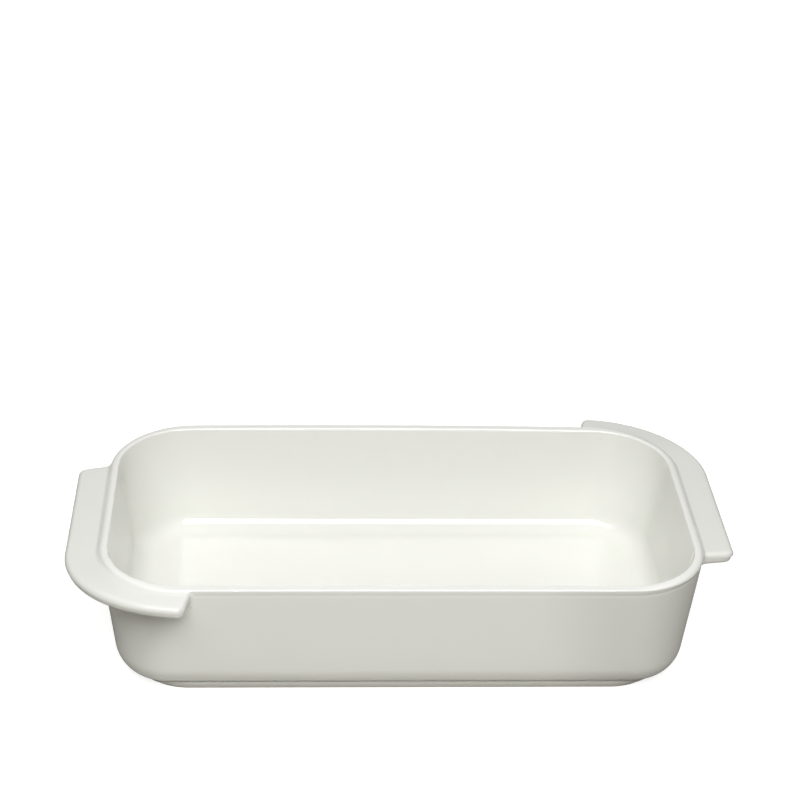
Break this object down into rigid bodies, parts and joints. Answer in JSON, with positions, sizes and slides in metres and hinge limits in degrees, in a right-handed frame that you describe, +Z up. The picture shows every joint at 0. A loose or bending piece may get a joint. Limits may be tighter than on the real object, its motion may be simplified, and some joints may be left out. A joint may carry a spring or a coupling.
{
  "type": "baking dish",
  "caption": "Oblong white glazed stoneware baking dish: an open tub with rounded corners, a foot ring, and flange handles that cover the ends and wrap round opposite corners.",
  "frame": {"origin": "middle of the foot ring's underside, on the table", "axes": "+X along the dish towards the right handle, +Y towards the back long wall, +Z up out of the opening"},
  "size_m": [0.3568, 0.196, 0.076],
  "materials": {
    "glaze": "gloss",
    "bare_clay": "matte"
  },
  "bodies": {
    "root": {"tub": "glaze", "left_handle": "glaze", "right_handle": "glaze", "foot_ring": "bare_clay"}
  },
  "joints": []
}
